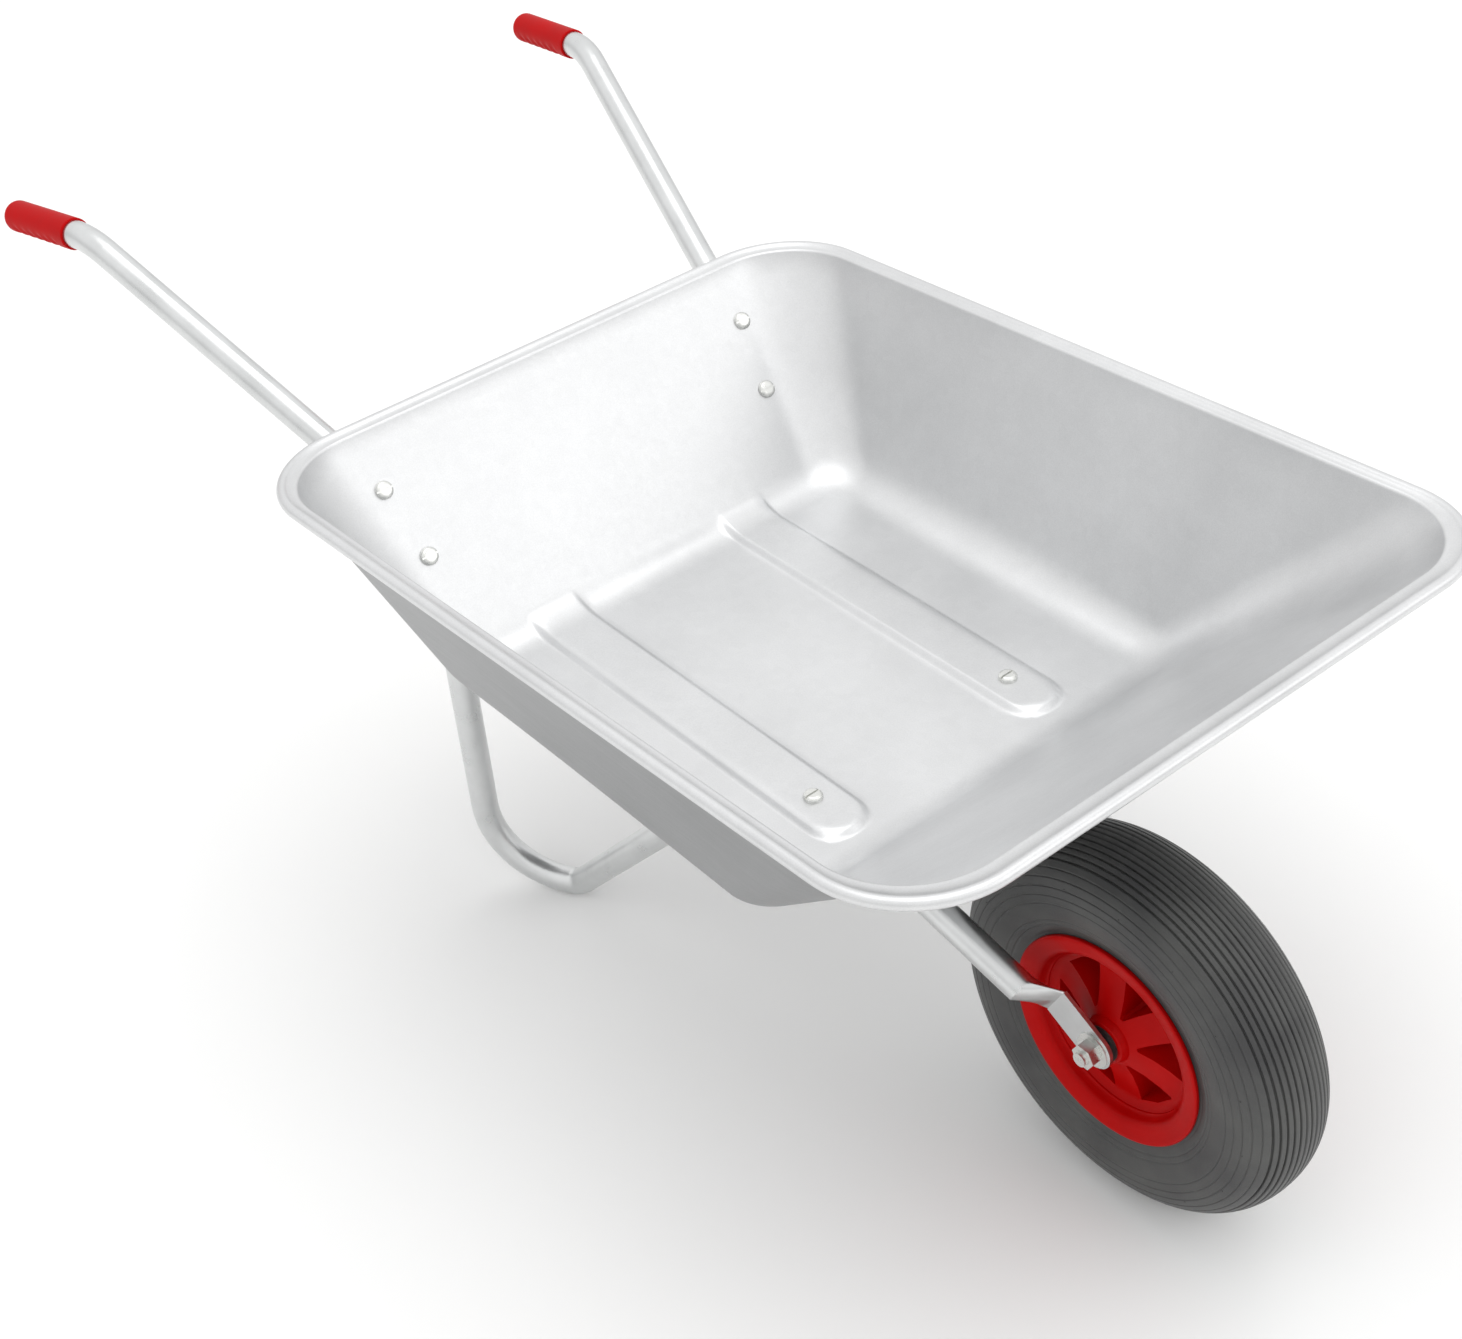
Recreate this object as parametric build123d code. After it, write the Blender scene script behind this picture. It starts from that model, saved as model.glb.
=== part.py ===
from build123d import *
import math
import os

# Single-wheel garden wheelbarrow with a pressed galvanised tray.
# Millimetres. +X points forward to the wheel, +Y to the user's left, +Z up.
# The origin lies on the ground, midway along the overall length, on the centre plane.

# ---- overall sizes ----
OVERALL_LENGTH = 1305.0      # ends of the grips to the front of the tyre
OVERALL_HEIGHT = 590.0       # ground to the top of the grips

# ---- tyre and wheel ----
TYRE_DIAMETER = 330.0
TYRE_WIDTH = 89.0
TYRE_WALL = 5.0
TUBE_RUBBER = 1.5
BEAD_SEAT_RADIUS = 76.2      # 6 inch rim
BEAD_LIFT = 2.0              # straight side of the bead above the flange
BEAD_LEAN = 0.3              # sideways lean of the sidewall where it leaves the bead
BULGE_DROP = 4.0             # widest line of the tyre below the middle of its height
RIM_FLANGE_RADIUS = 92.0
RIM_FLANGE_INSET = 3.5       # side of the tyre to the face of the flange
RIM_WALL = 4.0
WEB_THICKNESS = 6.0
WHEEL_SPOKES = 6
SPOKE_START = 40.0           # first spoke, from +X towards +Z
SPOKE_WIDTH = 24.0           # web left between two windows
RIB_THICKNESS = 4.0
RIB_INSET = 13.0             # face of the flange to the edge of a rib
WINDOW_MARGIN = 8.0          # web left beside the hub and the barrel
HUB_WALL = 10.0
HUB_STAND = 1.0              # hub's end beyond the face of the flange
BUSH_WALL = 7.0
BUSH_LENGTH = 20.0
BUSH_FLANGE_LEDGE = 2.5
BUSH_FLANGE = 2.0
VALVE_ANGLE = SPOKE_START + 90  # in the middle of a window
VALVE_OFFSET = 18.0          # to the left of the web
VALVE_RADIUS = 4.0
VALVE_BORE = 2.0
VALVE_TIP = 40.0             # stem's end from the axle
VALVE_FOOT = 1.5
VALVE_FOOT_RADIUS = 9.0
VALVE_CORE_LENGTH = 18.0
VALVE_CAP_LENGTH = 10.0
VALVE_CAP_WALL = 1.2

# ---- axle ----
AXLE_RADIUS = 6.0
SPACER_WALL = 4.0
SPACER_LENGTH = 4.0          # bush to fork plate
AXLE_NUT_WALL = 3.5          # shank to the middle of a flat
AXLE_NUT_HEIGHT = 10.0
AXLE_HEAD_HEIGHT = 7.5
AXLE_WASHER_LEDGE = 9.0
AXLE_WASHER = 2.0
AXLE_THREAD_TAIL = 4.0

# ---- frame tube ----
TUBE_RADIUS = 12.5
TUBE_WALL = 1.5
PLATE_THICKNESS = 3.4        # both walls of the tube, pressed flat
PLATE_EDGE_SHARE = 0.497     # rounding of the plate's edges over its thickness
PLATE_WIDTH = 34.0
PLATE_REACH = 46.0           # crimp line to the axle
CRIMP_LENGTH = 24.0          # round tube to flat plate
JOGGLE = 6.0                 # tube's line outside the plate, at the axle
GRIP_BEND_RADIUS = 70.0
WALL_BEND_RADIUS = 50.0
KNEE_BEND_RADIUS = 60.0
LEG_BEND_RADIUS = 78.0
FOOT_BEND_RADIUS = 19.0
ARCH_RADIUS = 150.0
GRIP_DROOP = 7.0             # degrees, the grips fall to the rear
GRIP_SPLAY = 6.0             # degrees, the grips spread to the rear
GRIP_SPREAD = 288.0          # half the distance between the grips at their ends
GRIP_TO_BEND = 24.0          # mouth of the grip to the handle bend
KNEE_LEAD = 34.0             # lower wall bolt to the corner of the bend below it
WALL_SPREAD = 199.0          # centre plane to the upper wall bolts
LEG_SPREAD = 185.0           # centre plane to the legs at the ground
FOOT_SPREAD = 139.0          # centre plane to the foot bends
FOOT_ADVANCE = 74.0          # leg to the foot bend, along X
FLOOR_BOLT_SPREAD = 107.0    # centre plane to the floor bolts and ribs

# ---- grips ----
GRIP_LENGTH = 108.0
GRIP_WALL = 1.9
GRIP_END_WALL = 3.0
GRIP_ROUND = 8.0             # rounding of the closed end

# ---- tray ----
TRAY_LENGTH = 815.0
TRAY_WIDTH = 610.0
TRAY_DEPTH = 215.0           # at the front, rim top to floor underside
TRAY_OVERHANG = 75.0         # front edge of the tray ahead of the axle
SHEET = 1.2
CURL_RADIUS = 5.0
LIP = 8.0                    # wall to the centre of the rolled edge
FLOOR_HEIGHT = 290.0         # underside of the floor above the ground
RIM_SLOPE = 2.6              # degrees, rising to the front
REAR_WALL_ANGLE = 52.0       # degrees from the floor
FRONT_WALL_ANGLE = 42.0
SIDE_WALL_ANGLE = 71.0
RIM_CORNER_RADIUS = 84.0
FLOOR_CORNER_RADIUS = 44.0
FLOOR_FILLET = 46.0
RIB_ROOM = 16.5              # tube's side to the foot of the rib that it lies under
RIB_RISE = 5.0
RIB_EDGE = 6.0               # width of a rib's sloping edge
RIB_FRONT_MARGIN = 22.0      # floor's front edge to the rib's end
FLOOR_BOLT_SETBACK = 74.0    # floor's front edge to the floor bolts

# ---- tray fasteners ----
BOLT_RADIUS = 3.9
BOLT_HEAD_LEDGE = 4.3
BOLT_HEAD_HEIGHT = 4.4
BOLT_CROWN = 3.5             # rounding of the head
BOLT_SLOT = 1.6
BOLT_SLOT_DEPTH = 2.0
BOLT_TAIL = 4.0
NUT_WALL = 2.6               # shank to the middle of a flat
NUT_HEIGHT = 6.5
WASHER_LEDGE = 4.6
WASHER = 1.6
UPPER_BOLT_DROP = 58.0       # rim top to the upper wall bolt, measured down the wall
WALL_BOLT_PITCH = 67.0

# ---- clearances ----
RUN_CLEARANCE = 0.05         # bush on the axle, radial
SIDE_CLEARANCE = 0.5         # bush flange to spacer
FIT_CLEARANCE = 0.1          # pieces of one body that slip over each other
HOLE_CLEARANCE = 0.3         # tray bolt in its holes, radial
SEAT_GAP = 0.8               # tube to the tray sheet, where the zinc builds up
OVERLAP = 1.0                # depth that joined solids of one piece share

# ---- places worked out from the sizes ----
TYRE_RADIUS = TYRE_DIAMETER / 2
RIM_FLANGE_HALF_WIDTH = TYRE_WIDTH / 2 - RIM_FLANGE_INSET
HUB_HALF_LENGTH = RIM_FLANGE_HALF_WIDTH + HUB_STAND
BUSH_RADIUS = AXLE_RADIUS + RUN_CLEARANCE + BUSH_WALL
HUB_RADIUS = BUSH_RADIUS + FIT_CLEARANCE + HUB_WALL
BEAD_LOW = BEAD_SEAT_RADIUS + FIT_CLEARANCE
TYRE_BEAD_Y = RIM_FLANGE_HALF_WIDTH - RIM_WALL - FIT_CLEARANCE
BARREL_RADIUS = BEAD_SEAT_RADIUS - RIM_WALL
BULGE_RADIUS = (RIM_FLANGE_RADIUS + TYRE_RADIUS) / 2 - BULGE_DROP
AXLE_NUT_FLATS = 2 * (AXLE_RADIUS + AXLE_NUT_WALL)
GRIP_RADIUS = TUBE_RADIUS + FIT_CLEARANCE + GRIP_WALL
BOLT_HOLE_RADIUS = BOLT_RADIUS + HOLE_CLEARANCE
BOLT_HEAD_RADIUS = BOLT_RADIUS + BOLT_HEAD_LEDGE
AXLE_X = OVERALL_LENGTH / 2 - TYRE_RADIUS
AXLE_Z = TYRE_RADIUS
REAR_X = -OVERALL_LENGTH / 2

FRONT_EDGE_X = AXLE_X + TRAY_OVERHANG
REAR_EDGE_X = FRONT_EDGE_X - TRAY_LENGTH
RIM_TOP_FRONT = FLOOR_HEIGHT + TRAY_DEPTH
RIM_TAN = math.tan(math.radians(RIM_SLOPE))
FLOOR_TOP = FLOOR_HEIGHT + SHEET

SPACER_INNER_Y = HUB_HALF_LENGTH + BUSH_FLANGE + SIDE_CLEARANCE
PLATE_INNER_Y = SPACER_INNER_Y + SPACER_LENGTH
PLATE_MID_Y = PLATE_INNER_Y + PLATE_THICKNESS / 2
PLATE_OUTER_Y = PLATE_INNER_Y + PLATE_THICKNESS


def rim_top(x):
    """Height of the top of the tray's rim at x."""
    return RIM_TOP_FRONT - (FRONT_EDGE_X - x) * RIM_TAN


def run(angle):
    """Horizontal run of a wall for each unit of height."""
    return 1 / math.tan(math.radians(angle))


# The walls leave the lip on the line of the rolled edge's inner side.
WALL_TOP_REAR_X = REAR_EDGE_X + CURL_RADIUS + LIP
WALL_TOP_FRONT_X = FRONT_EDGE_X - CURL_RADIUS - LIP
WALL_TOP_HALF = TRAY_WIDTH / 2 - CURL_RADIUS - LIP
FLOOR_REAR_X = WALL_TOP_REAR_X + (rim_top(WALL_TOP_REAR_X) - FLOOR_HEIGHT) * run(REAR_WALL_ANGLE)
FLOOR_FRONT_X = WALL_TOP_FRONT_X - (rim_top(WALL_TOP_FRONT_X) - FLOOR_HEIGHT) * run(FRONT_WALL_ANGLE)
FLOOR_MIDDLE_X = (FLOOR_REAR_X + FLOOR_FRONT_X) / 2
FLOOR_HALF = WALL_TOP_HALF - (rim_top(FLOOR_MIDDLE_X) - FLOOR_HEIGHT) * run(SIDE_WALL_ANGLE)
FLOOR_BOLT_X = FLOOR_FRONT_X - FLOOR_BOLT_SETBACK
RIB_WIDTH = 2 * (TUBE_RADIUS + RIB_ROOM)
# Sideways shift of the tube for each unit down the wall, from the upper bolt to the leg.
WALL_TAPER = (WALL_SPREAD - LEG_SPREAD) / (WALL_BOLT_PITCH + KNEE_LEAD)


# ---- tray ----
def rounded_outline(x_rear, x_front, half, corner, plane):
    """Rounded rectangle on a plane whose local x runs forward from the plane's origin."""
    origin_x = plane.origin.X
    stretch = 1 / plane.x_dir.X
    length = (x_front - x_rear) * stretch
    middle = ((x_front + x_rear) / 2 - origin_x) * stretch
    return plane * Pos(middle, 0) * RectangleRounded(length, 2 * half, corner)


def rim_plane(drop):
    """Plane of the rim, moved down by drop."""
    slope = math.radians(RIM_SLOPE)
    return Plane(
        origin=(0, 0, rim_top(0) - drop),
        x_dir=(math.cos(slope), 0, math.sin(slope)),
        z_dir=(-math.sin(slope), 0, math.cos(slope)),
    )


def floor_plane(height):
    return Plane(origin=(0, 0, height), x_dir=(1, 0, 0), z_dir=(0, 0, 1))


def tray_body(sheet, over, fillet_radius):
    """Solid with the shape of the tray's outside, or of its inside when sheet is its thickness.

    Its walls run on above the rim by over.
    """
    rear, front, side = [math.radians(a) for a in (REAR_WALL_ANGLE, FRONT_WALL_ANGLE, SIDE_WALL_ANGLE)]

    def low(wall):
        return sheet * math.tan(wall / 2)

    def high(wall):
        return sheet / math.sin(wall) - over / math.tan(wall)

    bottom = rounded_outline(
        FLOOR_REAR_X + low(rear), FLOOR_FRONT_X - low(front), FLOOR_HALF - low(side),
        FLOOR_CORNER_RADIUS - low(side), floor_plane(FLOOR_HEIGHT + sheet))
    top = rounded_outline(
        WALL_TOP_REAR_X + high(rear), WALL_TOP_FRONT_X - high(front), WALL_TOP_HALF - high(side),
        RIM_CORNER_RADIUS - LIP - high(side), rim_plane(-over))
    body = loft([bottom, top], ruled=True)
    low_edges = body.edges().group_by(Axis.Z)[0]
    return fillet(low_edges, fillet_radius - sheet)


def rib_block(grow, z_bottom, z_top):
    """Raised floor rib: a round-ended bar with sloping edges, for both sides of the tray."""
    front = FLOOR_FRONT_X - RIB_FRONT_MARGIN + grow
    length = front - FLOOR_REAR_X + FLOOR_FILLET
    width = RIB_WIDTH + 2 * grow
    rounding = width / 2 - OVERLAP
    blocks = []
    for side in (1, -1):
        place = Pos(front - length / 2, side * FLOOR_BOLT_SPREAD, 0)
        foot = place * Pos(0, 0, z_bottom) * RectangleRounded(length, width, rounding)
        head = place * Pos(0, 0, z_top) * RectangleRounded(
            length - 2 * RIB_EDGE, width - 2 * RIB_EDGE, rounding - RIB_EDGE)
        blocks.append(loft([foot, head], ruled=True))
    return blocks


def wall_bolt_points():
    """Where the rear wall's bolts pass the inside of the sheet, and the wall's direction down."""
    angle = math.radians(REAR_WALL_ANGLE)
    down = Vector(math.cos(angle), 0, -math.sin(angle))
    top = Vector(WALL_TOP_REAR_X, 0, rim_top(WALL_TOP_REAR_X))
    points = []
    for drop in (UPPER_BOLT_DROP, UPPER_BOLT_DROP + WALL_BOLT_PITCH):
        spread = WALL_SPREAD - (drop - UPPER_BOLT_DROP) * WALL_TAPER
        on_wall = top + down * drop
        points.append(Vector(on_wall.X, spread, on_wall.Z))
    return points


def wall_normal():
    """Unit vector out of the rear wall, away from the tray's inside."""
    angle = math.radians(REAR_WALL_ANGLE)
    return Vector(-math.sin(angle), 0, -math.cos(angle))


def both_sides(point):
    return [Vector(point.X, side * point.Y, point.Z) for side in (1, -1)]


def wall_bolt_planes():
    """Planes on the outside of the rear wall at each bolt, z pointing out of the tray."""
    planes = []
    for point in wall_bolt_points():
        for place in both_sides(point):
            planes.append(Plane(origin=place, x_dir=(0, 1, 0), z_dir=wall_normal()))
    return planes


def floor_bolt_planes():
    """Planes on the underside of the ribs at each floor bolt, z pointing down."""
    seat = Vector(FLOOR_BOLT_X, FLOOR_BOLT_SPREAD, FLOOR_HEIGHT + RIB_RISE)
    return [Plane(origin=place, x_dir=(0, 1, 0), z_dir=(0, 0, -1)) for place in both_sides(seat)]


def bolt_hole_cutter(plane, start, length):
    return extrude(plane.offset(start) * Circle(BOLT_HOLE_RADIUS), length)


def make_tray():
    """Pressed sheet with a lip and a rolled edge, two raised floor ribs and six bolt holes."""
    outer = tray_body(0, 0, FLOOR_FILLET)
    edge = (REAR_EDGE_X + CURL_RADIUS, FRONT_EDGE_X - CURL_RADIUS, TRAY_WIDTH / 2 - CURL_RADIUS,
            RIM_CORNER_RADIUS)
    lip = extrude(rounded_outline(*edge, rim_plane(SHEET)), SHEET)
    curl_line = rounded_outline(*edge, rim_plane(CURL_RADIUS)).face().outer_wire()
    start = curl_line.edges().sort_by(Axis.Y)[-1]
    section = Plane(origin=start @ 0.5, z_dir=start % 0.5)
    curl = sweep(section * Circle(CURL_RADIUS), path=curl_line)
    curl_bore = sweep(section * Circle(CURL_RADIUS - SHEET), path=curl_line)
    tray = outer + lip - tray_body(SHEET, 2 * SHEET, FLOOR_FILLET) + curl - curl_bore

    cavities = rib_block(0, FLOOR_HEIGHT - SHEET / 2, FLOOR_HEIGHT + RIB_RISE)
    skins = rib_block(SHEET, FLOOR_HEIGHT, FLOOR_TOP + RIB_RISE)
    for cavity, skin in zip(cavities, skins):
        tray = tray - cavity + ((skin & outer) - cavity)
    for plane in wall_bolt_planes() + floor_bolt_planes():
        tray -= bolt_hole_cutter(plane, -3 * SHEET, 6 * SHEET)
    return tray


# ---- frame tubes ----
def tangent_vertex(rear, front, top, radius):
    """Corner in the x-z plane whose rounding touches the height top above top's x."""
    centre = Vector(top.X, 0, top.Z - radius)

    def slope_to(point):
        flat = Vector(point.X - centre.X, 0, point.Z - centre.Z)
        bearing = math.atan2(flat.Z, abs(flat.X))
        return bearing, math.asin(radius / flat.length)

    rear_bearing, rear_half = slope_to(rear)
    front_bearing, front_half = slope_to(front)
    rise = math.tan(rear_half - rear_bearing)
    fall = math.tan(front_half - front_bearing)
    x = (front.Z - rear.Z + rise * rear.X + fall * front.X) / (rise + fall)
    return Vector(x, 0, rear.Z + rise * (x - rear.X))


def grip_direction():
    """Unit vector from the left grip's mouth to its closed end."""
    droop, splay = math.radians(GRIP_DROOP), math.radians(GRIP_SPLAY)
    level = math.cos(droop)
    return Vector(-level * math.cos(splay), level * math.sin(splay), -math.sin(droop))


def grip_mouth():
    """Centre of the left grip's mouth: its top edge is the highest point of the barrow."""
    rearward = grip_direction()
    tilt = math.acos(-rearward.X)
    overhang = (GRIP_RADIUS - GRIP_ROUND) * math.sin(tilt) + GRIP_ROUND * (1 - math.cos(tilt))
    x = REAR_X + overhang - rearward.X * GRIP_LENGTH
    y = GRIP_SPREAD - rearward.Y * GRIP_LENGTH
    z = OVERALL_HEIGHT - GRIP_RADIUS * math.cos(math.radians(GRIP_DROOP))
    return Vector(x, y, z)


def frame_points():
    """Corners of the left frame tube's centre line, from the grip to the crimp, and their radii."""
    rearward = grip_direction()
    mouth = grip_mouth()
    tube_end = mouth + rearward * (GRIP_LENGTH - GRIP_END_WALL)
    handle_bend = mouth - rearward * GRIP_TO_BEND

    off_wall = wall_normal() * (TUBE_RADIUS + SEAT_GAP)
    upper_axis, lower_axis = [point + off_wall for point in wall_bolt_points()]
    along = (lower_axis - upper_axis).normalized()
    turn = math.radians((upper_axis - handle_bend).get_angle(along))
    bend_reach = WALL_BEND_RADIUS * math.tan(turn / 2)
    wall_start = upper_axis - along * (BOLT_RADIUS + WASHER_LEDGE + bend_reach)
    leg_top = lower_axis + along * KNEE_LEAD

    leg_foot = Vector(leg_top.X, LEG_SPREAD, TUBE_RADIUS)
    foot = Vector(leg_top.X + FOOT_ADVANCE, FOOT_SPREAD, TUBE_RADIUS)

    axle = Vector(AXLE_X, PLATE_MID_Y, AXLE_Z)
    seat = Vector(FLOOR_BOLT_X, 0, FLOOR_HEIGHT + RIB_RISE - SEAT_GAP - TUBE_RADIUS)
    arch = tangent_vertex(foot, axle, seat, ARCH_RADIUS)
    lean = (FLOOR_BOLT_SPREAD - PLATE_MID_Y - JOGGLE) / (AXLE_X - FLOOR_BOLT_X)
    arch = Vector(arch.X, PLATE_MID_Y + JOGGLE + (AXLE_X - arch.X) * lean, arch.Z)
    fork_dir = (axle + Vector(0, JOGGLE, 0) - arch).normalized()
    crimp_start = axle + Vector(0, JOGGLE, 0) - fork_dir * (PLATE_REACH + CRIMP_LENGTH)

    points = [tube_end, handle_bend, wall_start, leg_top, leg_foot, foot, arch, crimp_start]
    radii = [GRIP_BEND_RADIUS, WALL_BEND_RADIUS, KNEE_BEND_RADIUS,
             LEG_BEND_RADIUS, FOOT_BEND_RADIUS, ARCH_RADIUS]
    return points, radii


def make_frame_tube():
    """Left frame tube: handle, leg, arch under the floor and flattened fork end."""
    points, radii = frame_points()
    line = FilletPolyline(*points, radius=radii)
    start = Plane(origin=line @ 0, z_dir=line % 0)
    tube = sweep(start * Circle(TUBE_RADIUS), path=line) - sweep(
        start * Circle(TUBE_RADIUS - TUBE_WALL), path=line)

    fork_dir = (points[-1] - points[-2]).normalized()
    flat_dir = Vector(fork_dir.X, 0, fork_dir.Z).normalized()
    across = Vector(0, 1, 0)
    axle = Vector(AXLE_X, PLATE_MID_Y, AXLE_Z)
    crimp = axle - flat_dir * PLATE_REACH
    round_end = Plane(origin=points[-1], x_dir=across, z_dir=fork_dir)
    flat_end = Plane(origin=crimp, x_dir=across, z_dir=flat_dir)
    corner = PLATE_THICKNESS * PLATE_EDGE_SHARE
    flat_section = flat_end * RectangleRounded(PLATE_THICKNESS, PLATE_WIDTH, corner)
    transition = loft([round_end * Circle(TUBE_RADIUS), flat_section])
    plate_face = Plane(origin=(AXLE_X, PLATE_INNER_Y, AXLE_Z), x_dir=flat_dir, z_dir=(0, 1, 0))
    outline = Circle(PLATE_WIDTH / 2) + Pos(-PLATE_REACH / 2, 0) * Rectangle(PLATE_REACH, PLATE_WIDTH)
    plate = extrude(plate_face * (outline - Circle(AXLE_RADIUS + FIT_CLEARANCE)), PLATE_THICKNESS)
    tube = tube + transition + plate
    for plane in wall_bolt_planes() + floor_bolt_planes():
        if plane.origin.Y > 0:
            tube -= bolt_hole_cutter(plane, -TUBE_RADIUS, 4 * TUBE_RADIUS)
    return tube


# ---- grips ----
def make_grip():
    """Left grip: a sleeve with a rounded closed end."""
    rearward = grip_direction()
    mouth = Plane(origin=grip_mouth(), z_dir=rearward)
    grip = extrude(mouth * Circle(GRIP_RADIUS), GRIP_LENGTH)
    grip = fillet(grip.edges().sort_by(Axis.X)[0], GRIP_ROUND)
    return grip - extrude(mouth * Circle(TUBE_RADIUS + FIT_CLEARANCE), GRIP_LENGTH - GRIP_END_WALL)


# ---- tray fasteners ----
def dome_bolt(plane):
    """Slotted dome-head bolt from the inside of the sheet, through the tube, past its nut."""
    seat = plane.offset(-SHEET)
    head = extrude(seat * Circle(BOLT_HEAD_RADIUS), -BOLT_HEAD_HEIGHT)
    crown = head.edges().sort_by(lambda edge: seat.to_local_coords(edge.center()).Z)[0]
    head = fillet(crown, BOLT_CROWN)
    slot_plane = seat.offset(-BOLT_HEAD_HEIGHT)
    head -= extrude(slot_plane * Rectangle(3 * BOLT_HEAD_RADIUS, BOLT_SLOT), BOLT_SLOT_DEPTH)
    length = SHEET + SEAT_GAP + 2 * TUBE_RADIUS + WASHER + NUT_HEIGHT + BOLT_TAIL
    return head + extrude(seat * Circle(BOLT_RADIUS), length)


def tube_washer(plane):
    face = plane.offset(SEAT_GAP + 2 * TUBE_RADIUS)
    return extrude(face * (Circle(BOLT_RADIUS + WASHER_LEDGE) - Circle(BOLT_HOLE_RADIUS)), WASHER)


def hex_nut(face, flats, height, bore):
    """Hexagon nut on a face plane, its width across flats given."""
    return extrude(face * (RegularPolygon(flats / 2, 6, major_radius=False) - Circle(bore)), height)


def tube_nut(plane):
    face = plane.offset(SEAT_GAP + 2 * TUBE_RADIUS + WASHER)
    return hex_nut(face, 2 * (BOLT_RADIUS + NUT_WALL), NUT_HEIGHT, BOLT_RADIUS + FIT_CLEARANCE)


def group(maker, planes):
    """One node made of the same fastener at each plane."""
    return Compound(children=[maker(plane) for plane in planes])


# ---- axle ----
def side_plane(side, distance):
    """Plane across the axle at a distance from the centre plane, z pointing outwards."""
    return Plane(origin=(AXLE_X, side * distance, AXLE_Z), x_dir=(1, 0, 0), z_dir=(0, side, 0))


def ring(side, distance, radius, bore, thickness):
    return extrude(side_plane(side, distance) * (Circle(radius) - Circle(bore)), thickness)


def make_axle_washer(side):
    bore = AXLE_RADIUS + FIT_CLEARANCE
    return ring(side, PLATE_OUTER_Y, AXLE_RADIUS + AXLE_WASHER_LEDGE, bore, AXLE_WASHER)


def make_spacer(side):
    bore = AXLE_RADIUS + FIT_CLEARANCE
    return ring(side, SPACER_INNER_Y, AXLE_RADIUS + SPACER_WALL, bore, SPACER_LENGTH)


def make_axle_bolt():
    """Hexagon bolt: head on the left, thread end on the right."""
    head_face = side_plane(1, PLATE_OUTER_Y + AXLE_WASHER)
    head = extrude(head_face * RegularPolygon(AXLE_NUT_FLATS / 2, 6, major_radius=False), AXLE_HEAD_HEIGHT)
    length = 2 * (PLATE_OUTER_Y + AXLE_WASHER) + AXLE_NUT_HEIGHT + AXLE_THREAD_TAIL
    return head + extrude(head_face * Circle(AXLE_RADIUS), -length)


def make_axle_nut():
    face = side_plane(-1, PLATE_OUTER_Y + AXLE_WASHER)
    return hex_nut(face, AXLE_NUT_FLATS, AXLE_NUT_HEIGHT, AXLE_RADIUS + FIT_CLEARANCE)


# ---- wheel ----
WHEEL_AXIS = Axis((AXLE_X, 0, AXLE_Z), (0, 1, 0))


def spin(*outline):
    """Solid of revolution about the axle, from edges in (sideways, radial) terms."""
    section = Plane(origin=(AXLE_X, 0, AXLE_Z), x_dir=(0, 1, 0), z_dir=(1, 0, 0))
    return revolve(section * make_face(outline), WHEEL_AXIS, 360)


def spun_box(y_low, y_high, r_low, r_high):
    """Revolved ring between two sideways and two radial places."""
    corners = (y_low, r_low), (y_high, r_low), (y_high, r_high), (y_low, r_high)
    return spin(Polyline(*corners, close=True))


def at_angle(angle, shape):
    """The shape turned about the axle, from +X towards +Z."""
    return shape.rotate(WHEEL_AXIS, -angle)


def rim_window():
    """Cutter for one window in the web, at angle 0, straight-sided between two spokes."""
    half_step = math.radians(180 / WHEEL_SPOKES)
    inner = HUB_RADIUS + WINDOW_MARGIN
    outer = (BARREL_RADIUS - WINDOW_MARGIN) * math.cos(half_step)
    low, high = [radius * math.tan(half_step) - SPOKE_WIDTH / 2 for radius in (inner, outer)]
    upright = Plane(origin=(AXLE_X, WEB_THICKNESS, AXLE_Z), x_dir=(1, 0, 0), z_dir=(0, -1, 0))
    corners = (inner, low), (outer, high), (outer, -high), (inner, -low)
    return extrude(upright * make_face(Polyline(*corners, close=True)), 2 * WEB_THICKNESS)


def make_wheel_rim():
    """Moulded rim: hub, web with ribs and windows, barrel and two flanges."""
    edge = RIM_FLANGE_HALF_WIDTH
    rim = spun_box(-HUB_HALF_LENGTH, HUB_HALF_LENGTH, BUSH_RADIUS + FIT_CLEARANCE, HUB_RADIUS)
    rim += spun_box(-edge, edge, BARREL_RADIUS, BEAD_SEAT_RADIUS)
    rim += spun_box(-WEB_THICKNESS / 2, WEB_THICKNESS / 2, HUB_RADIUS - OVERLAP, BARREL_RADIUS + OVERLAP)
    for low in (-edge, edge - RIM_WALL):
        rim += spun_box(low, low + RIM_WALL, BEAD_SEAT_RADIUS - OVERLAP, RIM_FLANGE_RADIUS)
    span = BARREL_RADIUS - HUB_RADIUS + 2 * OVERLAP
    middle = (BARREL_RADIUS + HUB_RADIUS) / 2
    rib = Pos(AXLE_X + middle, 0, AXLE_Z) * Box(span, 2 * (edge - RIB_INSET), RIB_THICKNESS)
    step = 360 / WHEEL_SPOKES
    for number in range(WHEEL_SPOKES):
        angle = SPOKE_START + number * step
        rim = rim - at_angle(angle + step / 2, rim_window()) + at_angle(angle, rib)
    bore_low, bore_high = BARREL_RADIUS - 2 * OVERLAP, BEAD_SEAT_RADIUS + 2 * OVERLAP
    return rim - valve_rod(VALVE_RADIUS + FIT_CLEARANCE, bore_low, bore_high)


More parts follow.
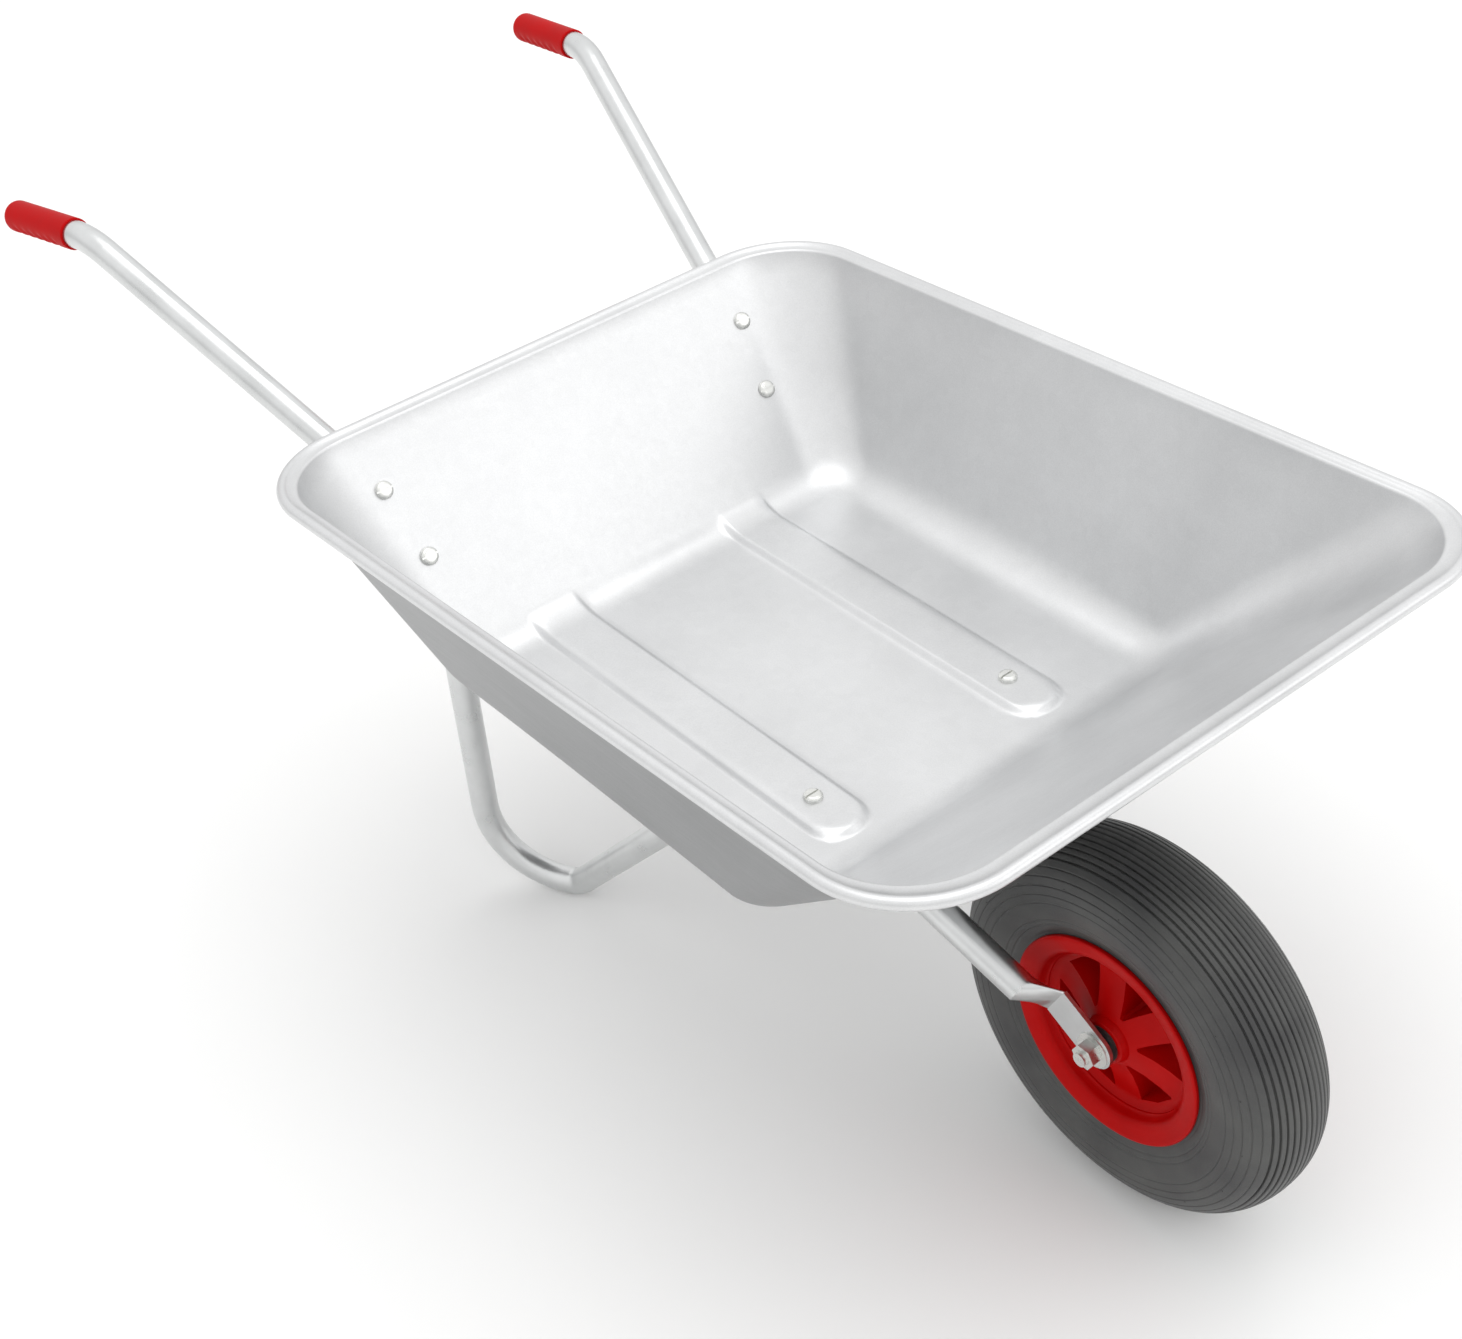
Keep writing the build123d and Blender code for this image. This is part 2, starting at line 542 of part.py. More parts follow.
def tyre_ring(inset, low):
    """Solid ring inside the tyre's outside by inset, from the radius low up to the crown."""
    bead = TYRE_BEAD_Y - inset
    bulge = TYRE_WIDTH / 2 - inset
    lift = RIM_FLANGE_RADIUS + BEAD_LIFT
    edges = [Line((-bead, low), (bead, low))]
    for side in (1, -1):
        edges.append(Line((side * bead, low), (side * bead, lift)))
        edges.append(Spline((side * bead, lift), (side * bulge, BULGE_RADIUS),
                            tangents=[(side * BEAD_LEAN, 1), (0, 1)]))
        edges.append(Spline((side * bulge, BULGE_RADIUS), (0, TYRE_RADIUS - inset),
                            tangents=[(0, 1), (-side, 0)]))
    return spin(*edges)


def make_tyre():
    return tyre_ring(0, BEAD_LOW) - tyre_ring(TYRE_WALL, BEAD_LOW)


def make_inner_tube():
    """Inflated tube that fills the tyre down to the rim barrel, pierced for the valve."""
    inset = TYRE_WALL + FIT_CLEARANCE
    tube = tyre_ring(inset, BEAD_LOW) - tyre_ring(inset + TUBE_RUBBER, BEAD_LOW + TUBE_RUBBER)
    return tube - valve_rod(VALVE_RADIUS + FIT_CLEARANCE, BARREL_RADIUS, BEAD_LOW + 2 * TUBE_RUBBER)


def make_bush(side):
    """Flanged plain bush, pressed into one end of the hub."""
    bore = AXLE_RADIUS + RUN_CLEARANCE
    sleeve = ring(side, HUB_HALF_LENGTH - BUSH_LENGTH, BUSH_RADIUS, bore, BUSH_LENGTH)
    return sleeve + ring(side, HUB_HALF_LENGTH, BUSH_RADIUS + BUSH_FLANGE_LEDGE, bore, BUSH_FLANGE)


# ---- valve ----
def valve_rod(radius, low, high, bore=0.0):
    """Round rod, or tube, along the valve's line between two distances from the axle."""
    angle = math.radians(VALVE_ANGLE)
    outward = Vector(math.cos(angle), 0, math.sin(angle))
    origin = Vector(AXLE_X, VALVE_OFFSET, AXLE_Z) + outward * low
    section = Circle(radius) - Circle(bore) if bore else Circle(radius)
    return extrude(Plane(origin=origin, x_dir=(0, 1, 0), z_dir=outward) * section, high - low)


def make_valve_stem():
    foot_low = BEAD_LOW + TUBE_RUBBER
    stem = valve_rod(VALVE_RADIUS, VALVE_TIP, foot_low + VALVE_FOOT, VALVE_BORE)
    return stem + valve_rod(VALVE_FOOT_RADIUS, foot_low, foot_low + VALVE_FOOT, VALVE_BORE)


def make_valve_core():
    return valve_rod(VALVE_BORE - FIT_CLEARANCE, VALVE_TIP + OVERLAP, VALVE_TIP + VALVE_CORE_LENGTH)


def make_valve_cap():
    bottom = VALVE_TIP - VALVE_CAP_WALL
    cap = valve_rod(VALVE_RADIUS + VALVE_CAP_WALL, bottom, bottom + VALVE_CAP_LENGTH)
    return cap - valve_rod(VALVE_RADIUS + FIT_CLEARANCE, VALVE_TIP, bottom + VALVE_CAP_LENGTH)


# ---- assembly ----
def make_parts():
    wall, floor = wall_bolt_planes(), floor_bolt_planes()
    tube_left, grip_left = make_frame_tube(), make_grip()
    parts = {
        "tray": make_tray(),
        "frame_tube_left": tube_left,
        "frame_tube_right": mirror(tube_left, about=Plane.XZ),
        "grip_left": grip_left,
        "grip_right": mirror(grip_left, about=Plane.XZ),
        "axle_bolt": make_axle_bolt(),
        "axle_nut": make_axle_nut(),
        "wheel_rim": make_wheel_rim(),
        "tyre": make_tyre(),
        "inner_tube": make_inner_tube(),
        "valve_stem": make_valve_stem(),
        "valve_core": make_valve_core(),
        "valve_cap": make_valve_cap(),
    }
    for place, planes in (("rear_wall", wall), ("floor", floor)):
        parts[place + "_bolts"] = group(dome_bolt, planes)
        parts[place + "_washers"] = group(tube_washer, planes)
        parts[place + "_nuts"] = group(tube_nut, planes)
    for name, side in (("left", 1), ("right", -1)):
        parts["axle_washer_" + name] = make_axle_washer(side)
        parts["spacer_" + name] = make_spacer(side)
        parts["bush_" + name] = make_bush(side)
    return parts


os.makedirs("parts", exist_ok=True)
for node, shape in make_parts().items():
    export_step(shape, "parts/" + node + ".step")
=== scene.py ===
import math

import bmesh
import bpy
from mathutils import Matrix, Vector


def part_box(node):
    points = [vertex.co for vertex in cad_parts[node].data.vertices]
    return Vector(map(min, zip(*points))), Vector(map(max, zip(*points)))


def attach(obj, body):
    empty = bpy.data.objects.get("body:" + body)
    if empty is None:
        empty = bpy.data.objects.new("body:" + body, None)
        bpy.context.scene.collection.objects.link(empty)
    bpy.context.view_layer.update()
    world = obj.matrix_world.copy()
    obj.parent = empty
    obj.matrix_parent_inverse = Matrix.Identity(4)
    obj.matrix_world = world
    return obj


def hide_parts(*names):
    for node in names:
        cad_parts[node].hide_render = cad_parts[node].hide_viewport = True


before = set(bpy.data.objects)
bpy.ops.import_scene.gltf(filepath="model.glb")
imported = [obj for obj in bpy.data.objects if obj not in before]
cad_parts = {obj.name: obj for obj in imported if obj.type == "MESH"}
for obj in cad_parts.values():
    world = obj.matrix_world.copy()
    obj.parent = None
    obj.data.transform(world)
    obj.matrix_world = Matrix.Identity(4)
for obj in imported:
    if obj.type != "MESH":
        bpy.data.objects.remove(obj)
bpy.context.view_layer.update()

MM = 0.001

# ---- places read from the frame, in metres ----
TRAY_LOW, TRAY_HIGH = [Vector(corner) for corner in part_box("tray")]
TYRE_LOW, TYRE_HIGH = [Vector(corner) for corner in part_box("tyre")]
HUB_END = Vector(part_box("wheel_rim")[1]).y
AXLE = (TYRE_LOW + TYRE_HIGH) / 2


# ---- materials ----
class Nodes:
    """A material's node tree, with short calls for the nodes that it is made of."""

    def __init__(self, name):
        self.material = bpy.data.materials.new(name)
        self.material.use_nodes = True
        self.tree = self.material.node_tree
        self.shader = self.tree.nodes["Principled BSDF"]
        self.place = self.tree.nodes.new("ShaderNodeTexCoord").outputs["Object"]

    def set(self, **values):
        for socket, value in values.items():
            self.shader.inputs[socket.replace("_", " ")].default_value = value

    def link(self, source, target):
        self.tree.links.new(source, target)

    def stretched(self, scale):
        """Object coordinates scaled by a different amount along each axis."""
        node = self.tree.nodes.new("ShaderNodeMapping")
        node.inputs["Scale"].default_value = scale
        self.link(self.place, node.inputs["Vector"])
        return node.outputs["Vector"]

    def noise(self, scale, detail=4.0, stretch=(1, 1, 1), roughness=0.55):
        node = self.tree.nodes.new("ShaderNodeTexNoise")
        node.inputs["Scale"].default_value = scale
        node.inputs["Detail"].default_value = detail
        node.inputs["Roughness"].default_value = roughness
        self.link(self.stretched(stretch), node.inputs["Vector"])
        return node.outputs["Fac"]

    def cells(self, scale):
        node = self.tree.nodes.new("ShaderNodeTexVoronoi")
        node.inputs["Scale"].default_value = scale
        self.link(self.place, node.inputs["Vector"])
        return node.outputs["Color"]

    def ramp(self, source, low, high, start=0.3, end=0.7):
        """Colour that goes from low to high as source goes from start to end."""
        node = self.tree.nodes.new("ShaderNodeValToRGB")
        for element, place, colour in zip(node.color_ramp.elements, (start, end), (low, high)):
            element.position = place
            element.color = colour if len(colour) == 4 else (*colour, 1)
        self.link(source, node.inputs["Fac"])
        return node.outputs["Color"]

    def span(self, source, low, high, start=0.3, end=0.7):
        """Number that goes from low to high as source goes from start to end."""
        node = self.tree.nodes.new("ShaderNodeMapRange")
        for socket, value in (("From Min", start), ("From Max", end), ("To Min", low), ("To Max", high)):
            node.inputs[socket].default_value = value
        self.link(source, node.inputs["Value"])
        return node.outputs["Result"]

    def mix(self, first, second, factor, mode="MIX"):
        node = self.tree.nodes.new("ShaderNodeMix")
        node.data_type = "RGBA"
        node.blend_type = mode
        for socket, value in ((node.inputs[0], factor), (node.inputs[6], first), (node.inputs[7], second)):
            if hasattr(value, "is_output"):
                self.link(value, socket)
            else:
                socket.default_value = value
        return node.outputs[2]

    def add(self, first, second):
        node = self.tree.nodes.new("ShaderNodeMath")
        self.link(first, node.inputs[0])
        self.link(second, node.inputs[1])
        return node.outputs[0]

    def bump(self, height, distance, strength=1.0):
        node = self.tree.nodes.new("ShaderNodeBump")
        node.inputs["Distance"].default_value = distance
        node.inputs["Strength"].default_value = strength
        self.link(height, node.inputs["Height"])
        self.link(node.outputs["Normal"], self.shader.inputs["Normal"])

    def colour(self, source):
        self.link(source, self.shader.inputs["Base Color"])

    def roughness(self, source):
        self.link(source, self.shader.inputs["Roughness"])


def zinc_sheet(name, low, high):
    """Bright galvanised sheet: faint crystals, fine rolling streaks and a soft satin gloss."""
    m = Nodes(name)
    m.set(Metallic=1.0)
    cloud = m.noise(9.0, detail=6)
    streak = m.noise(45.0, detail=4, stretch=(0.3, 7, 7))
    speck = m.noise(900.0, detail=2)
    tone = m.ramp(cloud, low, high)
    crystal = m.ramp(m.cells(110.0), (0.95, 0.95, 0.95), (1, 1, 1), 0.0, 1.0)
    fine = m.ramp(speck, (0.93, 0.93, 0.93), (1, 1, 1))
    m.colour(m.mix(m.mix(tone, crystal, 0.6, "MULTIPLY"), fine, 1.0, "MULTIPLY"))
    m.roughness(m.span(m.add(cloud, streak), 0.34, 0.46, 0.6, 1.4))
    m.bump(m.add(streak, speck), 0.00007, 0.5)
    return m.material


def zinc_tube():
    """Drawn zinc tube: darker than the sheet, smoother, with mottled patches."""
    m = Nodes("galvanised_tube")
    m.set(Metallic=1.0)
    patch = m.noise(35.0, detail=6)
    fine = m.noise(420.0, detail=3)
    m.colour(m.ramp(patch, (0.62, 0.63, 0.63), (0.70, 0.71, 0.71)))
    m.roughness(m.span(patch, 0.26, 0.34))
    m.bump(fine, 0.00006, 0.6)
    return m.material


def zinc_plating(name, tint=(0.76, 0.765, 0.74)):
    """Zinc-plated fastener with a faint yellow-green passivation."""
    m = Nodes(name)
    m.set(Metallic=1.0)
    patch = m.noise(90.0, detail=4)
    low = tuple(0.9 * part for part in tint)
    m.colour(m.ramp(patch, low, tint))
    m.roughness(m.span(patch, 0.24, 0.32))
    m.bump(m.noise(900.0, detail=2), 0.00002, 0.4)
    return m.material


def red_plastic(name, low, high, roughness, shine, grain=260.0, depth=0.00012):
    m = Nodes(name)
    m.set(Specular_IOR_Level=shine)
    cloud = m.noise(22.0, detail=4)
    m.colour(m.ramp(cloud, low, high))
    m.roughness(m.span(cloud, *roughness))
    m.bump(m.noise(grain, detail=4), depth, 0.5)
    return m.material


def tyre_rubber():
    """Black rubber with its base colour raised to grey as painted sheen, in soft patches, and a fine moulded
    grain.
    """
    m = Nodes("tyre_rubber")
    m.set(Specular_IOR_Level=0.4)
    patches_of_painted_sheen = m.noise(18.0, detail=6)
    grain = m.noise(700.0, detail=3)
    # Grey base colour: painted sheen standing in for the rubber's highlights.
    m.colour(m.ramp(patches_of_painted_sheen, (0.045, 0.045, 0.046), (0.08, 0.081, 0.078)))
    m.roughness(m.span(m.add(patches_of_painted_sheen, grain), 0.34, 0.5, 0.6, 1.4))
    m.bump(grain, 0.0002, 0.55)
    return m.material


def plain_grained(name, low, high, roughness, grain=500.0, metallic=0.0):
    m = Nodes(name)
    m.set(Metallic=metallic)
    patch = m.noise(80.0, detail=4)
    m.colour(m.ramp(patch, low, high))
    m.roughness(m.span(patch, *roughness))
    m.bump(m.noise(grain, detail=2), 0.00005, 0.5)
    return m.material


def studio_floor():
    m = Nodes("studio_floor")
    m.set(Specular_IOR_Level=0.1)
    cloud = m.noise(1.5, detail=2)
    m.colour(m.ramp(cloud, (0.93, 0.93, 0.925), (0.95, 0.95, 0.945)))
    m.roughness(m.span(cloud, 0.85, 0.95))
    return m.material


SHEET_ZINC = zinc_sheet("galvanised_sheet", (0.70, 0.705, 0.71), (0.77, 0.775, 0.78))
# Darker copy of the same zinc sheet for the tray's outside: painted shade.
SHEET_OUTSIDE_PAINTED_SHADE = zinc_sheet("galvanised_outside_painted_shade", (0.32, 0.325, 0.33), (0.38, 0.385, 0.39))
TUBE_ZINC = zinc_tube()
PLATED = zinc_plating("zinc_plated")
RED_GRIP = red_plastic("red_grip", (0.42, 0.0, 0.001), (0.50, 0.001, 0.002), (0.45, 0.55), 0.08)
RED_RIM = red_plastic("red_rim", (0.40, 0.0, 0.0), (0.48, 0.001, 0.001), (0.32, 0.42), 0.08)
RUBBER = tyre_rubber()
TUBE_RUBBER = plain_grained("tube_rubber", (0.02, 0.02, 0.02), (0.04, 0.04, 0.04), (0.55, 0.7))
VALVE_RUBBER = plain_grained("valve_rubber", (0.025, 0.025, 0.025), (0.05, 0.05, 0.05), (0.5, 0.65))
NYLON = plain_grained("nylon", (0.02, 0.02, 0.02), (0.035, 0.035, 0.035), (0.45, 0.55))
BRASS = plain_grained("brass", (0.62, 0.46, 0.20), (0.75, 0.58, 0.29), (0.25, 0.38), metallic=1.0)
BLACK = plain_grained("black_plastic", (0.02, 0.02, 0.02), (0.035, 0.035, 0.035), (0.4, 0.5))


# ---- mesh helpers ----
def new_piece(name, verts, faces, material, body, smooth=True):
    """Mesh piece in metres that rides on a body."""
    mesh = bpy.data.meshes.new(name)
    mesh.from_pydata([tuple(v) for v in verts], [], faces)
    tidy = bmesh.new()
    tidy.from_mesh(mesh)
    bmesh.ops.remove_doubles(tidy, verts=tidy.verts, dist=1e-6)
    bmesh.ops.recalc_face_normals(tidy, faces=tidy.faces)
    tidy.to_mesh(mesh)
    tidy.free()
    mesh.materials.append(material)
    for polygon in mesh.polygons:
        polygon.use_smooth = smooth
    piece = bpy.data.objects.new(name, mesh)
    bpy.context.scene.collection.objects.link(piece)
    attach(piece, body)
    return piece


def grid_faces(rows, columns, wrap_rows=False, wrap_columns=False):
    """Quads of a grid of vertices stored row by row."""
    faces = []
    for row in range(rows if wrap_rows else rows - 1):
        for column in range(columns if wrap_columns else columns - 1):
            below, right = (row + 1) % rows, (column + 1) % columns
            faces.append((row * columns + column, row * columns + right,
                          below * columns + right, below * columns + column))
    return faces


def revolve(name, profile, material, body, segments=192, closed=True):
    """Ring about the axle from (sideways, radial) points in millimetres."""
    verts = []
    for step in range(segments):
        turn = 2 * math.pi * step / segments
        for across, radial in profile:
            offset = Vector((radial * math.cos(turn), across, radial * math.sin(turn)))
            verts.append(AXLE + offset * MM)
    faces = grid_faces(segments, len(profile), wrap_rows=True, wrap_columns=closed)
    return new_piece(name, verts, faces, material, body)


def soften(piece, width, segments=2, angle=35):
    """Small rounded edges, with smooth shading held flat by weighted normals."""
    bevel = piece.modifiers.new("rounded_edges", "BEVEL")
    bevel.width = width
    bevel.segments = segments
    bevel.limit_method = "ANGLE"
    bevel.angle_limit = math.radians(angle)
    piece.modifiers.new("even_shading", "WEIGHTED_NORMAL").keep_sharp = True


def smooth_step(value):
    value = min(max(value, 0.0), 1.0)
    return value * value * (3 - 2 * value)


# ---- tray ----
SHEET = 1.2
CURL_RADIUS = 5.0
LIP = 8.0
LIP_DROP = 2.2               # lip below the top of the rolled edge
LIP_BEND = 3.0
RIM_SLOPE = 2.6              # degrees
REAR_WALL_ANGLE, FRONT_WALL_ANGLE, SIDE_WALL_ANGLE = 52.0, 42.0, 71.0
RIM_CORNER_RADIUS, FLOOR_CORNER_RADIUS, FLOOR_FILLET = 84.0, 44.0, 46.0
INNER_CORNER_RADIUS = 17.0   # corner of the flat part of the floor
RIB_SPREAD, RIB_HALF, RIB_RISE, RIB_EDGE, RIB_FRONT_MARGIN = 107.0, 29.0, 5.0, 8.0, 22.0
CORNER_STEPS = 12            # half of a corner
LONG_STEPS = 84
FILLET_STEPS, WALL_STEPS, CURL_STEPS = 12, 10, 18


def ring_points(x_rear, x_front, half, radius, along, across):
    """Rounded rectangle, from the middle of the rear right corner, right side first."""
    centres = [(x_rear + radius, radius - half), (x_front - radius, radius - half),
               (x_front - radius, half - radius), (x_rear + radius, half - radius)]
    points = []
    for side in range(4):
        start, end = centres[side], centres[(side + 1) % 4]
        out = -90 + 90 * side
        normal = (math.cos(math.radians(out)), math.sin(math.radians(out)))
        for step in range(CORNER_STEPS):
            turn = math.radians(out - 45 + 45 * step / CORNER_STEPS)
            points.append((start[0] + radius * math.cos(turn), start[1] + radius * math.sin(turn)))
        for share in (along, across, along, across)[side]:
            points.append((start[0] + (end[0] - start[0]) * share + radius * normal[0],
                           start[1] + (end[1] - start[1]) * share + radius * normal[1]))
        for step in range(1, CORNER_STEPS + 1):
            turn = math.radians(out + 45 * step / CORNER_STEPS)
            points.append((end[0] + radius * math.cos(turn), end[1] + radius * math.sin(turn)))
        points.pop()
    return points


def ring_normals(along, across):
    """Outward directions at the same places as ring_points."""
    normals = []
    for side in range(4):
        out = -90 + 90 * side
        turns = [out - 45 + 45 * step / CORNER_STEPS for step in range(CORNER_STEPS)]
        turns += [out] * len((along, across, along, across)[side])
        turns += [out + 45 * step / CORNER_STEPS for step in range(1, CORNER_STEPS)]
        normals += [(math.cos(math.radians(turn)), math.sin(math.radians(turn))) for turn in turns]
    return normals


class TrayShape:
    """Heights and outlines of the tray's inside, in millimetres."""

    def __init__(self):
        low, high = TRAY_LOW / MM, TRAY_HIGH / MM
        self.floor = low.z + SHEET
        self.front_x = high.x
        self.rim_top_front = high.z
        self.slope = math.tan(math.radians(RIM_SLOPE))
        self.wall_rear = low.x + CURL_RADIUS + LIP
        self.wall_front = high.x - CURL_RADIUS - LIP
        self.wall_half = high.y - CURL_RADIUS - LIP
        self.floor_rear = self.foot(self.wall_rear, REAR_WALL_ANGLE, 1)
        self.floor_front = self.foot(self.wall_front, FRONT_WALL_ANGLE, -1)
        middle = self.rim_top((self.floor_rear + self.floor_front) / 2)
        self.floor_half = self.wall_half - (middle - low.z) / math.tan(math.radians(SIDE_WALL_ANGLE))
        self.rib_y = RIB_SPREAD
        self.rib_front = self.floor_front - RIB_FRONT_MARGIN
        # The inside of the walls, where they begin to bend out to the lip.
        drop = LIP_DROP + LIP_BEND
        self.top_rear = self.wall_rear + self.set_in(drop, REAR_WALL_ANGLE)
        self.top_front = self.wall_front - self.set_in(drop, FRONT_WALL_ANGLE)
        self.top_half = self.wall_half - self.set_in(drop, SIDE_WALL_ANGLE)
        shares = [step / LONG_STEPS for step in range(LONG_STEPS + 1)]
        self.along, self.across = shares, self.rib_shares()

    def rim_top(self, x):
        return self.rim_top_front - (self.front_x - x) * self.slope

    def foot(self, wall_x, angle, direction):
        height = self.rim_top(wall_x) - self.floor + SHEET
        return wall_x + direction * height / math.tan(math.radians(angle))

    def set_in(self, drop, angle):
        """Sideways step from the outside of a wall's top to its inside, lower down by drop."""
        return drop / math.tan(math.radians(angle)) + SHEET / math.sin(math.radians(angle))

    def tangent(self, angle):
        """Run of the floor fillet before the corner that it rounds."""
        return FLOOR_FILLET * math.tan(math.radians(angle / 2))

    def rib_shares(self):
        """Places across the floor, close together on the ribs' sloping edges."""
        reach = self.floor_half - self.tangent(SIDE_WALL_ANGLE) - INNER_CORNER_RADIUS
        places = {-reach, reach}
        for side in (-1, 1):
            for edge in (-1, 1):
                centre = side * self.rib_y + edge * (RIB_HALF - RIB_EDGE / 2)
                places.update(centre + step * 1.1 for step in range(-5, 6))
        fixed = sorted(places)
        shares = [fixed[0]]
        for place in fixed[1:]:
            gap = place - shares[-1]
            parts = max(1, math.ceil(gap / 5.0))
            shares += [shares[-1] + gap / parts * (part + 1) for part in range(parts)]
        return [(place + reach) / (2 * reach) for place in shares]

    def ring(self, *outline):
        return ring_points(*outline, self.along, self.across)

    def rib_rise(self, x, y):
        spine_end = self.rib_front - RIB_HALF
        away = math.hypot(max(0.0, x - spine_end), abs(y) - self.rib_y)
        return RIB_RISE * smooth_step((RIB_HALF - away) / RIB_EDGE)

    def lifted(self, x, y, z):
        """The same point raised by a floor rib, which fades out up a wall."""
        fade = 1 - smooth_step((z - self.floor) / (3.5 * RIB_RISE))
        return x, y, z + self.rib_rise(x, y) * fade


def lip_bend_profile():
    """Section of the bend from the wall to the lip: (out, up) from the top of the wall."""
    turns = [math.radians(90 * step / 4) for step in range(1, 5)]
    return [(LIP_BEND * (1 - math.cos(turn)), LIP_BEND * math.sin(turn)) for turn in turns]


def curl_profile():
    """Section round the rolled edge: (out, up) from the line through its middle."""
    start, end = 146.0, -170.0
    turns = [math.radians(start + (end - start) * step / CURL_STEPS) for step in range(CURL_STEPS + 1)]
    return [(CURL_RADIUS * math.cos(turn), CURL_RADIUS * math.sin(turn)) for turn in turns]


def tray_rings(shape):
    """Rings of the inside, from the floor's flat part out to the end of the rolled edge."""
    low = shape.ring(shape.floor_rear, shape.floor_front, shape.floor_half, FLOOR_CORNER_RADIUS)
    flat = shape.ring(
        shape.floor_rear + shape.tangent(REAR_WALL_ANGLE),
        shape.floor_front - shape.tangent(FRONT_WALL_ANGLE),
        shape.floor_half - shape.tangent(SIDE_WALL_ANGLE), INNER_CORNER_RADIUS)
    high = shape.ring(shape.top_rear, shape.top_front, shape.top_half, RIM_CORNER_RADIUS - LIP)
    edge = shape.ring(shape.wall_rear - LIP, shape.wall_front + LIP, shape.wall_half + LIP, RIM_CORNER_RADIUS)
    flat = [Vector((x, y, shape.floor)) for x, y in flat]
    low = [Vector((x, y, shape.floor)) for x, y in low]
    top = [Vector((x, y, shape.rim_top(x) - LIP_DROP - LIP_BEND)) for x, y in high]
    rings = []
    bends = []
    for inner, corner, upper in zip(flat, low, top):
        reach = (corner - inner).length
        bends.append((inner, corner, corner + (upper - corner).normalized() * reach))
    for step in range(FILLET_STEPS + 1):
        t = step / FILLET_STEPS
        rings.append([a * (1 - t) ** 2 + b * (2 * t * (1 - t)) + c * t ** 2 for a, b, c in bends])
    for step in range(1, WALL_STEPS + 1):
        t = step / WALL_STEPS
        rings.append([bend[2].lerp(upper, t) for bend, upper in zip(bends, top)])
    normals = ring_normals(shape.along, shape.across)
    for outline, drop, profile in ((high, LIP_DROP + LIP_BEND, lip_bend_profile()),
                                   (edge, CURL_RADIUS, curl_profile())):
        for out, up in profile:
            ring = []
            for (x, y), normal in zip(outline, normals):
                ring.append(Vector((x + normal[0] * out, y + normal[1] * out, shape.rim_top(x) - drop + up)))
            rings.append(ring)
    return rings


def floor_patch(ring, along, across):
    """Grid of points that fills a ring: each inner line blends between the ring's four sides."""
    wide, deep = len(along) + 2 * CORNER_STEPS - 1, len(across) + 2 * CORNER_STEPS - 1
    right = [ring[i] for i in range(wide + 1)]
    front = [ring[wide + j] for j in range(deep + 1)]
    left = [ring[wide + deep + i] for i in range(wide + 1)][::-1]
    rear = [ring[(2 * wide + deep + j) % len(ring)] for j in range(deep + 1)][::-1]
    rows = []
    for j in range(deep + 1):
        v = (front[j].y - front[0].y) / (front[-1].y - front[0].y)
        row = []
        for i in range(wide + 1):
            u = (right[i].x - right[0].x) / (right[-1].x - right[0].x)
            sides = right[i] * (1 - v) + left[i] * v + rear[j] * (1 - u) + front[j] * u
            corners = (right[0] * (1 - u) + right[-1] * u) * (1 - v) + (left[0] * (1 - u) + left[-1] * u) * v
            row.append(sides - corners)
        rows.append(row)
    return rows


def make_tray():
    shape = TrayShape()
    rings = tray_rings(shape)
    patch = floor_patch(rings[0], shape.along, shape.across)
    around = len(rings[0])
    verts = [point for ring in rings for point in ring]
    faces = grid_faces(len(rings), around, wrap_columns=True)
    first = len(verts)
    verts += [point for row in patch for point in row]
    faces += [tuple(first + index for index in face) for face in grid_faces(len(patch), len(patch[0]))]
    verts = [Vector(shape.lifted(*point)) * MM for point in verts]
    tray = new_piece("tray_sheet", verts, faces, SHEET_ZINC, "frame")
    skin = tray.modifiers.new("sheet_thickness", "SOLIDIFY")
    skin.thickness = SHEET * MM
    skin.offset = -1 if faces_up(tray) else 1
    # The outer skin takes the darker copy of the sheet: painted shade on the outside of the tray.
    tray.data.materials.append(SHEET_OUTSIDE_PAINTED_SHADE)
    skin.material_offset = 1
    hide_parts("tray")
    return tray


def faces_up(piece):
    """Whether the piece's widest faces point up."""
    return sum(polygon.normal.z * polygon.area for polygon in piece.data.polygons) > 0


# ---- tyre ----
TYRE_SEGMENTS = 240
GROOVES = 13
GROOVE_PITCH = 5.6           # along the tread, from the middle outwards
GROOVE_WIDTH, GROOVE_DEPTH = 1.5, 2.2
SHOULDER_LINES = 5           # finer grooves beyond the last deep one
SHOULDER_PITCH = 7.4
SHOULDER_WIDTH, SHOULDER_DEPTH = 0.7, 0.9
SIDE_LINES = (101.0, 106.0)  # radii of the moulded rings on the sidewall
SIDE_LINE_RISE = 0.7
BEAD_HALF, BEAD_RADIUS, BULGE_RADIUS = 36.9, 76.4, 124.5


def tyre_outline():
    """Half section of the tyre from the bead to the crown, without its pattern."""
    half, crown = (TYRE_HIGH.y - AXLE.y) / MM, (TYRE_HIGH.z - AXLE.z) / MM
    points = [(BEAD_HALF, BEAD_RADIUS), (BEAD_HALF, 88.0), (BEAD_HALF, 94.0)]
    for step in range(1, 33):
        t = step / 32
        across = BEAD_HALF + (half - BEAD_HALF) * math.sin(t * math.pi / 2)
        points.append((across, 94.0 + (BULGE_RADIUS - 94.0) * t))
    fullness = 2.25
    for step in range(1, 161):
        turn = math.pi / 2 * step / 160
        across = half * math.cos(turn) ** (2 / fullness)
        radial = BULGE_RADIUS + (crown - BULGE_RADIUS) * math.sin(turn) ** (2 / fullness)
        points.append((across, radial))
    return points


def groove(away, width, depth):
    """Depth at a distance from the middle of a groove with sloping sides."""
    return depth * (1 - smooth_step((away - width / 2 + 0.4) / 0.8))


